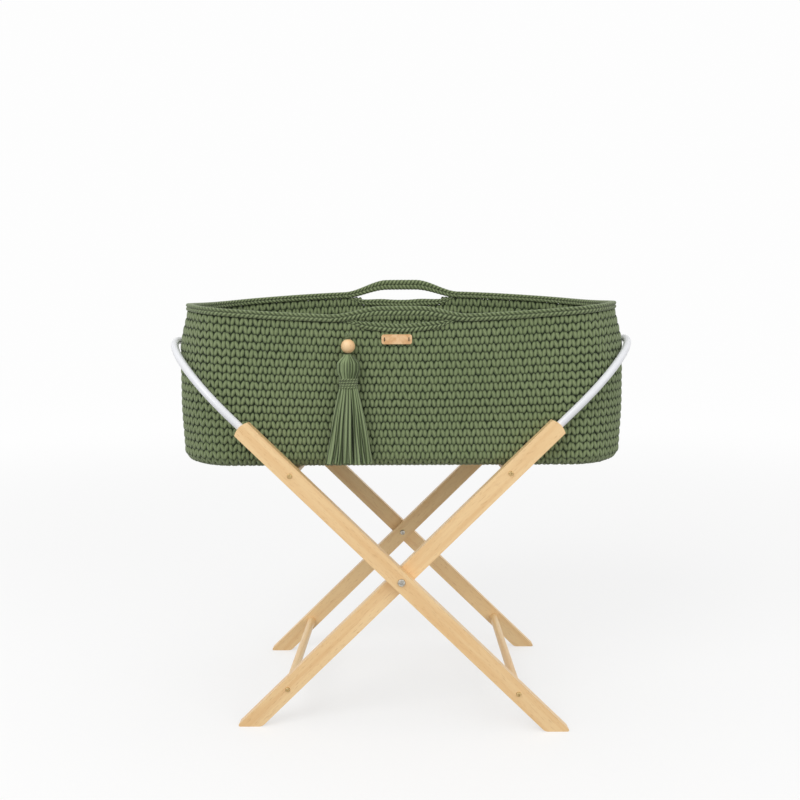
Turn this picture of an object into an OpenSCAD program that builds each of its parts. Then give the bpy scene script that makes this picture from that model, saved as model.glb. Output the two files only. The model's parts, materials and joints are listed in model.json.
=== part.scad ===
// Bassinet on stand: a soft crocheted basket resting in a folding wooden
// X-stand whose four legs carry two white bent-tube bows around its ends.
// +X runs along the basket, +Y to the back, +Z up; the origin lies on the floor
// under the middle of the stand.  All sizes are in millimetres.

/* [Basket] */
// Length of the basket over its ends
basket_length = 800; // [660:5:960]
// Width of the basket between the legs
basket_width = 316; // [264:1:380]
// Height of the rim's top at the ends, above the basket's bottom
rim_height = 283; // [236:1:340]
// Rise of the back rim, and fall of the front rim, at the basket's ends
rim_tilt = 10; // [0:1:20]
// Further rise and fall of the rim at the middle of the long sides
rim_wave = 22; // [0:1:40]
// Thickness of the crocheted wall and base
knit = 8; // [6:0.5:11]
// Radius between the wall and the base
base_round = 22; // [16:1:30]
// Swell of the long sides above the legs
side_swell = 2.2; // [0:0.1:3]

/* [Rim and handles] */
// Height of the rolled rim
rim_h = 13; // [10:0.5:18]
// Width of the rolled rim, through the wall
rim_w = 13; // [11:0.5:15]
// Height of the front handle's strap at its middle
front_strap_h = 16; // [12:0.5:22]
// Height of the rear handle's strap at its middle
rear_strap_h = 20; // [14:0.5:24]
// Length over which a handle strap leaves the rim's line
handle_length = 230; // [190:5:276]
// Length of the hand slot under the front strap
front_slot_length = 150; // [120:2:176]
// Length of the hand slot under the rear strap
rear_slot_length = 190; // [150:2:210]
// Height of the hand slot's bound edge
lip_h = 14; // [8:1:18]
// Width of that edge, through the wall
lip_w = 12; // [10:0.5:14]
// Rise of the front strap above the rim's line
front_arch = 15; // [8:1:24]
// Rise of the rear strap above the rim's line
rear_arch = 22; // [12:1:30]
// Open height of the front hand slot
front_slot = 13; // [9:0.5:18]
// Open height of the rear hand slot
rear_slot = 20; // [12:0.5:26]

/* [Inside] */
// Thickness of the stiff base board
board_t = 4; // [3:0.5:6]
// Thickness of the mattress
mattress_t = 40; // [30:1:50]
// Gap from the mattress to the wall
mattress_gap = 5.5; // [4:0.5:10]

/* [Stand] */
// Angle of the legs above the floor
leg_angle = 44.3; // [42:0.1:47]
// Height of the pivot above the floor
pivot_h = 250; // [208:1:300]
// Width of a leg's face
leg_w = 30; // [25:1:36]
// Thickness of a leg
leg_t = 18; // [16:0.5:22]
// Crown of a leg's upper end
leg_crown = 4; // [2:0.5:6]
// Rounding at the inner corner of a foot
foot_round = 14; // [6:1:18]
// Rounding at the outer tip of a foot
tip_round = 2.5; // [1:0.5:4]
// Diameter of a dowel
dowel_d = 15; // [12:0.5:18]
// From a leg's upper end to its upper dowel
upper_dowel_drop = 109; // [90:1:125]
// From the pivot to a lower dowel
lower_dowel_reach = 267; // [222:1:280]
// Depth of a dowel's socket in the leg
socket_depth = 6; // [4:0.5:8]

/* [Bows] */
// Diameter of the bow tube
tube_d = 13; // [10.5:0.5:14]
// Wall of the bow tube
tube_wall = 1.2; // [0.8:0.1:2]
// Straight run of the outer frame's bow beyond its legs
bow_straight = 22; // [10:1:40]
// Depth of a bow's end inside the leg
bow_plug = 35; // [25:1:45]

/* [Fasteners] */
// Diameter of a pivot bolt
bolt_d = 6; // [5:0.5:8]
// Diameter of the front pivot bolt's head
bolt_head_d = 12.5; // [10:0.5:15]
// Height of a pivot bolt's head
bolt_head_h = 3.5; // [2.5:0.5:5]
// Diameter of the rear pivot bolt's head
rear_head_d = 10; // [9:0.5:13]
// Height of a pivot nut
nut_h = 3.5; // [2.5:0.5:5]
// Thickness of the washer between the legs
washer_t = 1; // [0.6:0.1:2]
// Diameter of the washer
washer_d = 18; // [14:1:24]
// Diameter of a dowel screw
screw_d = 4; // [3:0.5:5]
// Diameter of a dowel screw's head
screw_head_d = 8; // [6:0.5:10]
// Height of a dowel screw's head
screw_head_h = 2.2; // [1.5:0.1:3]
// Length of a dowel screw inside its dowel
screw_bite = 25; // [15:1:35]

/* [Tassel and tag] */
// Place of the tassel along the basket, from its middle
tassel_x = -85; // [-104:1:-74]
// Diameter of the wooden bead
bead_d = 23; // [18:0.5:26]
// Height of the bead's middle above the basket's bottom
bead_h = 201; // [190:1:206]
// Width of the tassel's head
head_w = 37; // [28:1:44]
// Height of the tassel's head
head_h = 41; // [34:1:48]
// Depth of the tassel from front to back
tassel_depth = 23; // [16:1:24]
// Width of the binding
bind_w = 30; // [24:1:36]
// Height of the binding
bind_h = 16; // [10:1:20]
// Length of the skirt
skirt_l = 124; // [90:1:130]
// Width of the skirt's end
skirt_w = 78; // [50:1:86]
// Diameter of the tassel's hanging cord
loop_d = 3.6; // [3:0.2:5]
// Place of the tag's middle along the basket
tag_x = -6; // [-20:1:20]
// Length of the tag
tag_l = 50; // [40:1:60]
// Height of the tag
tag_h = 16; // [12:1:18]
// Thickness of the tag
tag_t = 2; // [1.5:0.5:3]

/* [Clearances] */
// From the basket to the inner legs
side_gap = 0.5; // [0.4:0.1:2]
// From the basket's end to the tube of a bow
bow_gap = 0.5; // [0.4:0.1:2]
// From the basket to the dowels that carry it
seat_gap = 0.3; // [0.2:0.1:0.5]
// Between soft pieces that lie on each other
soft_gap = 0.3; // [0.2:0.1:0.5]
// Radial clearance of pins, plugs and dowels in their bores
fit = 0.05; // [0.03:0.01:0.1]
// Radial clearance of the tassel's cord in its bead
cord_fit = 0.3; // [0.15:0.05:0.5]

/* [Hidden] */

ROUND = 64;      // facets of a true circle
SIDE_STEPS = 40; // stations along each long side of the basket
END_STEPS = 20;  // stations around each end
WALL_ROWS = 9;   // rings up the outer wall above its rounded foot
FOOT_ROWS = 4;   // rings around the rounded foot

BEECH = [0.93, 0.79, 0.60];
WHITE = [0.93, 0.93, 0.94];
STEEL = [0.75, 0.74, 0.70];
BRASS = [0.76, 0.62, 0.38];
YARN = [0.45, 0.51, 0.37];
YARN_DARK = [0.38, 0.44, 0.31];
LINEN = [0.93, 0.92, 0.88];
TAN = [0.90, 0.70, 0.48];

// Across the stand: faces of the inner and outer legs, from the middle plane
inner_in = basket_width / 2 + side_gap;
inner_out = inner_in + leg_t;
outer_in = inner_out + washer_t;
outer_out = outer_in + leg_t;

// Along a leg, from the pivot: each bow's middle, and where it ends
outer_bow_r = outer_in + leg_t / 2;
inner_bow_r = inner_in + leg_t / 2;
bow_reach = (basket_length / 2 + bow_gap + tube_d / 2) / cos(leg_angle);
leg_upper = bow_reach - outer_bow_r - bow_straight;
upper_dowel = leg_upper - upper_dowel_drop;

// Heights
dowel_z = pivot_h + upper_dowel * sin(leg_angle);
basket_z = dowel_z + dowel_d / 2 + seat_gap;
leg_top_z = pivot_h + leg_upper * sin(leg_angle) + leg_w / 2 + leg_crown;

// Plan of the basket: straight sides, and elliptical ends that lie in the bows
end_depth = inner_bow_r * cos(leg_angle);
swell_from = leg_top_z - basket_z;
swell_over = 26;

// ---------------------------------------------------------------- helpers

function smooth(t) = let(u = min(1, max(0, t))) u * u * (3 - 2 * u);
function unit(v) = v / norm(v);

// Corner b of the path a-b-c, rounded to radius r with n steps
function corner(a, b, c, r, n = 8) =
    let(p = unit(a - b), q = unit(c - b),
        half = acos(p * q) / 2,
        mid = b + unit(p + q) * r / sin(half),
        from = b + p * r / tan(half) - mid,
        to = b + q * r / tan(half) - mid,
        turn = acos(min(1, max(-1, unit(from) * unit(to)))),
        way = from[0] * to[1] - from[1] * to[0] > 0 ? 1 : -1)
    [for (i = [0:n]) let(t = way * turn * i / n)
        mid + [from[0] * cos(t) - from[1] * sin(t),
               from[0] * sin(t) + from[1] * cos(t)]];

// A round bar along Y from y0 to y1, in the plane of the legs at [x, z]
module bar_y(x, z, r, y0, y1, fn = ROUND)
    translate([x, y1, z]) rotate([90, 0, 0]) cylinder(r = r, h = y1 - y0, $fn = fn);

// Draws its children in a leg's own plane: X along the leg from the pivot up
module along_leg() translate([0, 0, pivot_h]) rotate([0, -leg_angle, 0]) children();

// The outer frame leans to the left and the inner one to the right
module outer_frame() mirror([1, 0, 0]) children();

// ------------------------------------------------------------------- legs

function on_leg(u, v) = [u * cos(leg_angle) - v * sin(leg_angle),
                         u * sin(leg_angle) + v * cos(leg_angle) + pivot_h];
function foot_u(v) = (-pivot_h - v * cos(leg_angle)) / sin(leg_angle);

crown_r = (leg_w * leg_w / 4 + leg_crown * leg_crown) / (2 * leg_crown);
crown_half = asin(leg_w / 2 / crown_r);

leg_outline = let(inner = on_leg(foot_u(-leg_w / 2), -leg_w / 2),
                  tip = on_leg(foot_u(leg_w / 2), leg_w / 2),
                  low = on_leg(leg_upper, -leg_w / 2),
                  high = on_leg(leg_upper, leg_w / 2))
    concat(corner(low, inner, tip, foot_round),
           corner(inner, tip, high, tip_round),
           [for (i = [0:12]) let(t = crown_half * (1 - i / 6))
               on_leg(leg_upper + leg_crown - crown_r * (1 - cos(t)), crown_r * sin(t))]);

// One leg of the frame that leans right.  face is the leg's inner face's
// distance from the middle plane and side is -1 in front and 1 at the back.
module leg(face, side) {
    y0 = side < 0 ? -face - leg_t : face;
    socket = side < 0 ? -face - socket_depth : face;
    difference() {
        translate([0, y0 + leg_t, 0]) rotate([90, 0, 0])
            linear_extrude(leg_t) polygon(leg_outline);
        bar_y(0, pivot_h, bolt_d / 2 + fit, y0 - 1, y0 + leg_t + 1);
        for (u = [upper_dowel, -lower_dowel_reach]) {
            bar_y(on_leg(u, 0)[0], on_leg(u, 0)[1], dowel_d / 2 + fit,
                socket - (side < 0 ? 0 : 1), socket + socket_depth + (side < 0 ? 1 : 0));
            bar_y(on_leg(u, 0)[0], on_leg(u, 0)[1], screw_d / 2 + fit,
                y0 - 1, y0 + leg_t + 1);
        }
        along_leg() translate([leg_upper - bow_plug, y0 + leg_t / 2, 0])
            rotate([0, 90, 0]) cylinder(d = tube_d + 2 * fit, h = bow_plug + leg_w, $fn = ROUND);
    }
}

module outer_front_leg() color(BEECH) outer_frame() leg(outer_in, -1);
module outer_rear_leg() color(BEECH) outer_frame() leg(outer_in, 1);
module inner_front_leg() color(BEECH) leg(inner_in, -1);
module inner_rear_leg() color(BEECH) leg(inner_in, 1);

// ------------------------------------------------------------------- bows

module ring_section() difference() {
    circle(d = tube_d, $fn = ROUND);
    circle(d = tube_d - 2 * tube_wall, $fn = ROUND);
}

// A half ring of tube with two straight ends that plug into the legs
module bow(r) along_leg() translate([bow_reach - r, 0, 0]) {
    rotate([0, 0, -90]) rotate_extrude(angle = 180, $fn = 2 * ROUND)
        translate([r, 0]) ring_section();
    for (side = [-1, 1])
        translate([leg_upper - bow_plug - (bow_reach - r), side * r, 0])
            rotate([0, 90, 0]) linear_extrude(bow_reach - r - leg_upper + bow_plug)
                ring_section();
}

module left_bow() color(WHITE) outer_frame() bow(outer_bow_r);
module right_bow() color(WHITE) bow(inner_bow_r);

// ----------------------------------------------------------------- dowels

// face is the distance of the legs' inner faces from the middle plane
module dowel(u, face) {
    reach = face + socket_depth;
    difference() {
        bar_y(on_leg(u, 0)[0], on_leg(u, 0)[1], dowel_d / 2, -reach, reach);
        for (side = [-1, 1])
            bar_y(on_leg(u, 0)[0], on_leg(u, 0)[1], screw_d / 2 + fit,
                side < 0 ? -reach - 1 : reach - screw_bite - 1,
                side < 0 ? -reach + screw_bite + 1 : reach + 1);
    }
}

module upper_left_dowel() color(BEECH) outer_frame() dowel(upper_dowel, outer_in);
module lower_right_dowel() color(BEECH) outer_frame() dowel(-lower_dowel_reach, outer_in);
module upper_right_dowel() color(BEECH) dowel(upper_dowel, inner_in);
module lower_left_dowel() color(BEECH) dowel(-lower_dowel_reach, inner_in);

// -------------------------------------------------------------- fasteners

// Profile of a pan head of diameter d and height h, seated at height 0
function pan(d, h) = concat([[0, 0], [d / 2, 0]],
    [for (i = [0:6]) let(t = 90 * i / 6)
        [d / 2 - h * 0.6 * (1 - cos(t)), h * 0.4 + h * 0.6 * sin(t)]],
    [[0, h]]);

// A screw along +Z: its head above 0 with a hex recess, its shank below 0
module screw(head_d, head_h, shank_d, shank_l) {
    difference() {
        rotate_extrude($fn = ROUND) polygon(pan(head_d, head_h));
        translate([0, 0, head_h * 0.4]) cylinder(d = head_d * 0.45, h = head_h, $fn = 6);
    }
    translate([0, 0, -shank_l]) cylinder(d = shank_d, h = shank_l, $fn = ROUND);
}

// The four screws that hold one frame's two dowels
module dowel_screws(face_in)
    for (u = [upper_dowel, -lower_dowel_reach], side = [-1, 1])
        translate([on_leg(u, 0)[0], side * (face_in + leg_t), on_leg(u, 0)[1]])
            rotate([-90 * side, 0, 0])
                screw(screw_head_d, screw_head_h, screw_d, leg_t - socket_depth + screw_bite);

module outer_frame_screws() color(BRASS) outer_frame() dowel_screws(outer_in);
module inner_frame_screws() color(BRASS) dowel_screws(inner_in);

pivot_grip = 2 * leg_t + washer_t;

module nut() difference() {
    cylinder(d = rear_head_d + 2, h = nut_h, $fn = 6);
    translate([0, 0, -1]) cylinder(d = bolt_d + 2 * fit, h = nut_h + 2, $fn = ROUND);
}

module front_pivot_bolt() color(STEEL) translate([0, -outer_out, pivot_h])
    rotate([90, 0, 0]) screw(bolt_head_d, bolt_head_h, bolt_d, pivot_grip + nut_h);
module front_pivot_nut() color(STEEL) translate([0, -inner_in, pivot_h])
    rotate([-90, 0, 0]) nut();
module rear_pivot_bolt() color(STEEL) translate([0, inner_in, pivot_h])
    rotate([90, 0, 0]) screw(rear_head_d, bolt_head_h, bolt_d, pivot_grip + nut_h);
module rear_pivot_nut() color(STEEL) translate([0, outer_out, pivot_h])
    rotate([-90, 0, 0]) nut();
module pivot_washers() color(STEEL) for (y = [-outer_in, inner_out]) difference() {
    bar_y(0, pivot_h, washer_d / 2, y, y + washer_t);
    bar_y(0, pivot_h, bolt_d / 2 + fit, y - 1, y + washer_t + 1);
}

// ---------------------------------------------------------- basket's shape

STATIONS = 2 * (SIDE_STEPS + END_STEPS);

// Station k of the plan, drawn in by inset, with the long sides out by swell
function plan(k, inset = 0, swell = 0) =
    let(half_w = basket_width / 2 - inset + swell,
        depth = end_depth - inset,
        straight = basket_length / 2 - end_depth,
        half = SIDE_STEPS + END_STEPS,
        back = k >= half,
        i = back ? k - half : k,
        turn = -90 + 180 * (i - SIDE_STEPS) / END_STEPS,
        p = i < SIDE_STEPS
            ? [-straight + 2 * straight * i / SIDE_STEPS, -half_w]
            : [straight + depth * cos(turn), half_w * sin(turn)])
    back ? -p : p;

// Outward direction of the plan at station k
function out_of(k) =
    let(a = plan((k + STATIONS - 1) % STATIONS), b = plan((k + 1) % STATIONS),
        straight = basket_length / 2 - end_depth,
        p = plan(k))
    abs(p[0]) <= straight ? [0, sign(p[1])] : unit([b[1] - a[1], a[0] - b[0]]);

function swell_at(h) = side_swell * smooth((h - swell_from) / swell_over);

// Height of the rim's top line over a point of the plan, without the handles
function rim_line(p) =
    let(s = p[1] / (basket_width / 2 + side_swell),
        c = cos(min(90, 90 * abs(p[0]) / (basket_length / 2))))
    rim_height + s * (rim_tilt + rim_wave * c);

// 1 over the middle of a handle, and 0 where it joins the rim
function on_handle(x) = smooth(1.6 * (1 - abs(x) / (handle_length / 2)));
function is_front(p) = p[1] < 0;
function half_slot(p) = (is_front(p) ? front_slot_length : rear_slot_length) / 2;
// 1 in the middle of a hand slot, and 0 at its ends
function in_slot(p) = sqrt(max(0, 1 - pow(p[0] / half_slot(p), 4)));
// The same for the slot's bound edge, which is a little longer
function in_lip(p) = max(0, 1 - pow(p[0] / (half_slot(p) + 18), 4));

function rim_top(p) = rim_line(p) + on_handle(p[0]) * (is_front(p) ? front_arch : rear_arch);
function band_h(p) = rim_h
    + ((is_front(p) ? front_strap_h : rear_strap_h) - rim_h) * on_handle(p[0]);
function strap_low(p) = rim_top(p) - band_h(p);
function lip_top(p) = strap_low(p) - soft_gap - in_slot(p) * (is_front(p) ? front_slot : rear_slot);
function wall_top(p) = lip_top(p) - soft_gap - in_lip(p) * lip_h;

// Faces of a closed loft: rings of n points, stacked in rows
function loft_faces(rows, n) = concat(
    [for (r = [0:rows - 2], i = [0:n - 1]) let(j = (i + 1) % n)
        each [[r * n + i, (r + 1) * n + i, (r + 1) * n + j],
              [r * n + i, (r + 1) * n + j, r * n + j]]],
    [[for (i = [0:n - 1]) i]],
    [[for (i = [n - 1:-1:0]) (rows - 1) * n + i]]);

// -------------------------------------------------------- basket's pieces

module plate(inset, z, t) translate([0, 0, basket_z + z]) linear_extrude(t)
    polygon([for (k = [0:STATIONS - 1]) plan(k, inset)]);

module basket_base() color(YARN_DARK) plate(base_round, 0, knit);

// The wall's section at station k: up the outside and down the inside
function wall_section(k) =
    let(top = wall_top(plan(k)),
        inner_round = base_round - knit,
        outer = concat(
            [for (i = [0:FOOT_ROWS - 1]) let(t = 90 * i / FOOT_ROWS)
                [base_round * (1 - sin(t)), base_round * (1 - cos(t))]],
            [for (i = [0:WALL_ROWS]) [0, base_round + (top - base_round) * i / WALL_ROWS]]),
        inner = concat(
            [for (i = [WALL_ROWS:-1:0]) [knit, base_round + (top - base_round) * i / WALL_ROWS]],
            [for (i = [FOOT_ROWS - 1:-1:0]) let(t = 90 * i / FOOT_ROWS)
                [base_round - inner_round * sin(t), base_round - inner_round * cos(t)]]))
    concat(outer, inner);

module basket_wall() {
    n = 2 * (FOOT_ROWS + WALL_ROWS + 1);
    points = [for (k = [0:STATIONS - 1]) each [for (s = wall_section(k))
        let(p = plan(k, s[0], swell_at(s[1]))) [p[0], p[1], basket_z + s[1]]]];
    faces = [for (k = [0:STATIONS - 1], i = [0:n - 1])
        let(k2 = (k + 1) % STATIONS, j = (i + 1) % n,
            a = k * n + i, b = k2 * n + i, c = k2 * n + j, d = k * n + j)
        each [[a, c, b], [a, d, c]]];
    color(YARN) polyhedron(points, faces, convexity = 6);
}

// A rolled edge that runs along the wall over stations from to upto, of width w,
// between the heights that low and high give at each station
module edge_roll(from, upto, w, low, high) {
    n = 8;
    points = [for (k = [from:upto]) let(s = k % STATIONS, o = out_of(s),
            lo = low(plan(s)), hi = high(plan(s)), h = hi - lo,
            mid = plan(s, knit / 2, side_swell), z = basket_z + (lo + hi) / 2)
        each [for (q = [[1, -2], [2, -1], [2, 1], [1, 2], [-1, 2], [-2, 1], [-2, -1], [-1, -2]])
            [mid[0] + o[0] * q[0] * w / 4, mid[1] + o[1] * q[0] * w / 4, z + q[1] * h / 4]]];
    polyhedron(points, loft_faces(upto - from + 1, n), convexity = 4);
}

// Stations on the front side whose X is within reach of the middle, and the
// matching stations on the back, which lie half a turn further on
side_step = 2 * (basket_length / 2 - end_depth) / SIDE_STEPS;
function first_within(reach) = ceil(SIDE_STEPS / 2 - reach / side_step);
function last_within(reach) = floor(SIDE_STEPS / 2 + reach / side_step);
HALF = SIDE_STEPS + END_STEPS;
handle_first = first_within(handle_length / 2);
handle_last = last_within(handle_length / 2);

module rolled_rim(from, upto)
    edge_roll(from, upto, rim_w, function(p) strap_low(p), function(p) rim_top(p));
module slot_edge(slot_length, shift)
    edge_roll(first_within(slot_length / 2 + 9) + shift,
        last_within(slot_length / 2 + 9) + shift, lip_w,
        function(p) wall_top(p) + soft_gap, function(p) lip_top(p));

module rim_band() color(YARN) {
    rolled_rim(handle_last, HALF + handle_first);
    rolled_rim(HALF + handle_last, STATIONS + handle_first);
}
module front_handle() color(YARN) rolled_rim(handle_first, handle_last);
module rear_handle() color(YARN) rolled_rim(HALF + handle_first, HALF + handle_last);
module front_slot_edge() color(YARN_DARK) slot_edge(front_slot_length, 0);
module rear_slot_edge() color(YARN_DARK) slot_edge(rear_slot_length, HALF);

// ----------------------------------------------------------------- inside

board_z = knit + soft_gap;
mattress_z = board_z + board_t + soft_gap;
module base_board() color(BEECH) plate(base_round - soft_gap, board_z, board_t);
module mattress() color(LINEN) plate(knit + mattress_gap, mattress_z, mattress_t);

// ---------------------------------------------------------- tag and tassel

front_face = basket_width / 2 + side_swell;
// The tag is sewn on just below the foot of the front slot's bound edge
TAG_DROP = 3;
STITCH_INSET = 5;
tag_z = basket_z + wall_top([tag_x, -basket_width / 2]) - TAG_DROP - tag_h / 2;

module rounded_plate(l, h, t, r) linear_extrude(t) {
    square([l - 2 * r, h], center = true);
    square([l, h - 2 * r], center = true);
    for (sx = [-1, 1], sy = [-1, 1])
        translate([sx * (l / 2 - r), sy * (h / 2 - r)]) circle(r = r, $fn = ROUND);
}

module leather_tag() color(TAN) translate([tag_x, -front_face - soft_gap, tag_z])
    rotate([90, 0, 0]) difference() {
        rounded_plate(tag_l, tag_h, tag_t, 4);
        for (x = [-1, 1], z = [-1, 1])
            translate([x * (tag_l / 2 - STITCH_INSET), z * 2.5, -1])
                cylinder(d = 1.7, h = tag_t + 2, $fn = 24);
    }

// A staple of thread through the two holes at each end of the tag
module tag_stitches() color(YARN_DARK) for (x = [-1, 1])
    translate([tag_x + x * (tag_l / 2 - STITCH_INSET), -front_face, tag_z]) rotate([90, 0, 0]) {
        for (z = [-1, 1]) translate([0, z * 2.5, 0]) cylinder(d = 1.6, h = tag_t + soft_gap + 1, $fn = 24);
        translate([0, 3.3, tag_t + soft_gap + 0.8]) rotate([90, 0, 0]) cylinder(d = 1.6, h = 6.6, $fn = 24);
    }

// The tassel hangs in a plane in front of the wall
hang_y = -front_face - tassel_depth / 2 - 1.5;
bead_z = basket_z + bead_h;
loop_r = loop_d / 2;
ANCHOR_R = 2;
ring_r = ANCHOR_R + fit + loop_r;
anchor_z = bead_z + bead_d / 2 + ring_r + loop_r - 1;
head_top = bead_z - bead_d / 2 - 0.2;
bind_top = head_top - head_h - 0.2;
skirt_top = bind_top - bind_h - 0.2;

// The knot of yarn in the wall that the tassel's cord is looped around
module tassel_anchor() color(YARN_DARK) {
    bar_y(tassel_x, anchor_z, ANCHOR_R, hang_y - loop_r - 0.3, -front_face);
    bar_y(tassel_x, anchor_z, ANCHOR_R * 1.8, hang_y - loop_r - 3.3, hang_y - loop_r - 0.3);
}

module tassel_loop() color(YARN) {
    translate([tassel_x, hang_y, anchor_z]) rotate([90, 0, 0])
        rotate_extrude($fn = ROUND) translate([ring_r, 0]) circle(r = loop_r, $fn = 32);
    translate([tassel_x, hang_y, head_top - 6])
        cylinder(r = loop_r, h = anchor_z - ring_r - head_top + 6, $fn = 32);
}

module wooden_bead() color(BEECH) translate([tassel_x, hang_y, bead_z]) difference() {
    sphere(d = bead_d, $fn = ROUND);
    cylinder(r = loop_r + cord_fit, h = bead_d + 2, center = true, $fn = 32);
}

// A tassel section: half width w at each height z of the list, flattened to depth
module flat_round(rows, depth_of) {
    n = 24;
    points = [for (row = rows) each [for (i = [0:n - 1])
        [row[0] * cos(360 * i / n), depth_of(row[0]) * sin(360 * i / n), row[1]]]];
    polyhedron(points, loft_faces(len(rows), n), convexity = 4);
}

function half_depth(w) = min(w, tassel_depth / 2);

module tassel_head() color(YARN) translate([tassel_x, hang_y, head_top]) difference() {
    flat_round([for (i = [0:8]) let(t = -60 + 120 * i / 8)
        [head_w / 2 * (0.35 + 0.65 * cos(t)), head_h / 2 * (-1 - sin(t) / sin(60))]],
        function(w) half_depth(w));
    translate([0, 0, -6.05]) cylinder(r = loop_r + fit, h = 8, $fn = 32);
}

module tassel_binding() color(YARN_DARK) translate([tassel_x, hang_y, bind_top])
    flat_round([for (i = [0:6]) let(t = i / 6)
        [bind_w / 2 * (0.94 + 0.06 * sin(180 * t)), -bind_h * t]],
        function(w) half_depth(w) * 0.9);

module tassel_skirt() color(YARN) translate([tassel_x, hang_y, skirt_top])
    flat_round([for (i = [0:8]) let(t = i / 8)
        [bind_w / 2 * 0.92 + (skirt_w / 2 - bind_w / 2 * 0.92) * pow(t, 0.8), -skirt_l * t]],
        function(w) tassel_depth / 2);

// ---------------------------------------------------------------- drawing

outer_front_leg();
outer_rear_leg();
left_bow();
upper_left_dowel();
lower_right_dowel();
outer_frame_screws();
front_pivot_bolt();
front_pivot_nut();
rear_pivot_bolt();
rear_pivot_nut();
pivot_washers();
inner_front_leg();
inner_rear_leg();
right_bow();
upper_right_dowel();
lower_left_dowel();
inner_frame_screws();
basket_base();
basket_wall();
rim_band();
front_handle();
rear_handle();
front_slot_edge();
rear_slot_edge();
base_board();
mattress();
leather_tag();
tag_stitches();
tassel_anchor();
tassel_loop();
wooden_bead();
tassel_head();
tassel_binding();
tassel_skirt();
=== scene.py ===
"""Looks of the bassinet on its folding stand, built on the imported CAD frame.

Everything is in metres in the part's own frame: +X along the basket, +Y to the
back, +Z up, with the floor at Z = 0.
"""

import json
import math

import bmesh
import bpy
import numpy as np
from mathutils import Matrix, Vector
from mathutils.bvhtree import BVHTree

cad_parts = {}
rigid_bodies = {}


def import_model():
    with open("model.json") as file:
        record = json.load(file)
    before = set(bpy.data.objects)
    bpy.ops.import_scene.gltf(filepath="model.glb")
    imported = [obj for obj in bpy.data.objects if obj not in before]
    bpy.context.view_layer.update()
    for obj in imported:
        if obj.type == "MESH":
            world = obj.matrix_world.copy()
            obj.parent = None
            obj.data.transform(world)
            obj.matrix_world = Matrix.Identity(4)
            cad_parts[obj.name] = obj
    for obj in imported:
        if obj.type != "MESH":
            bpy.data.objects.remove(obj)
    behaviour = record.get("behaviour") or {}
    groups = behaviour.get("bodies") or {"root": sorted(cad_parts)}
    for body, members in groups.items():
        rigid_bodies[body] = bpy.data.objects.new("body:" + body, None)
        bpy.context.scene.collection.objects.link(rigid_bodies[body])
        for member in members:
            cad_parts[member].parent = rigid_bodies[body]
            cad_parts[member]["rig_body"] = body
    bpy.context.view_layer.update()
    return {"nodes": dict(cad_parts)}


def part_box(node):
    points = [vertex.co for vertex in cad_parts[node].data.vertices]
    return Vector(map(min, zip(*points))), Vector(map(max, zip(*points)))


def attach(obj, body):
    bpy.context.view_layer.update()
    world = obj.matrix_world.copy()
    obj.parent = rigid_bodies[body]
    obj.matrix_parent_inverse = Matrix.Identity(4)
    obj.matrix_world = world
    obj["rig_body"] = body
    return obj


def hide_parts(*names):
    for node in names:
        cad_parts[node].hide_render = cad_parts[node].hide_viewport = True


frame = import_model()
rng = np.random.default_rng(7)
MM = 0.001

# ------------------------------------------------------------ sizes, in mm
# These repeat part.scad's values, from which the CAD nodes were made.
BASKET_LENGTH, BASKET_WIDTH = 800.0, 316.0
RIM_HEIGHT, RIM_TILT, RIM_WAVE = 283.0, 10.0, 22.0
KNIT, BASE_ROUND, SIDE_SWELL = 8.0, 22.0, 2.2
RIM_H, RIM_W = 13.0, 13.0
STRAP_H = {"front": 16.0, "rear": 20.0}
SLOT_LENGTH = {"front": 150.0, "rear": 190.0}
SLOT_HEIGHT = {"front": 13.0, "rear": 20.0}
ARCH = {"front": 15.0, "rear": 22.0}
HANDLE_LENGTH = 230.0
LIP_H, LIP_W = 14.0, 12.0
SOFT_GAP = 0.3
END_DEPTH = 119.88
SWELL_FROM, SWELL_OVER = 87.3, 26.0
STRAIGHT = BASKET_LENGTH / 2 - END_DEPTH
END_PULL_LOW, END_PULL_HIGH = 5.0, 17.0
LEG_ANGLE = math.radians(44.3)
BASKET_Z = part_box("basket_base")[0].z / MM

# ------------------------------------------------------------------ camera


def add_camera():
    """The camera at the photograph's angle and distance."""
    pitch, yaw, roll = -0.06424, -0.00816, -0.00545
    forward = Vector((math.sin(yaw) * math.cos(pitch), math.cos(yaw) * math.cos(pitch), math.sin(pitch)))
    right = Vector((math.cos(yaw), -math.sin(yaw), 0.0))
    up = right.cross(forward)
    right, up = (right * math.cos(roll) + up * math.sin(roll),
                 up * math.cos(roll) - right * math.sin(roll))
    data = bpy.data.cameras.new("camera")
    data.lens = 35.42
    data.sensor_width = 36.0
    camera = bpy.data.objects.new("camera", data)
    bpy.context.scene.collection.objects.link(camera)
    turn = Matrix((right, up, -forward)).transposed().to_4x4()
    camera.matrix_world = Matrix.Translation((0.009327, -1.453574, 0.628649)) @ turn
    bpy.context.scene.camera = camera


add_camera()

# --------------------------------------------------------------- materials


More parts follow.
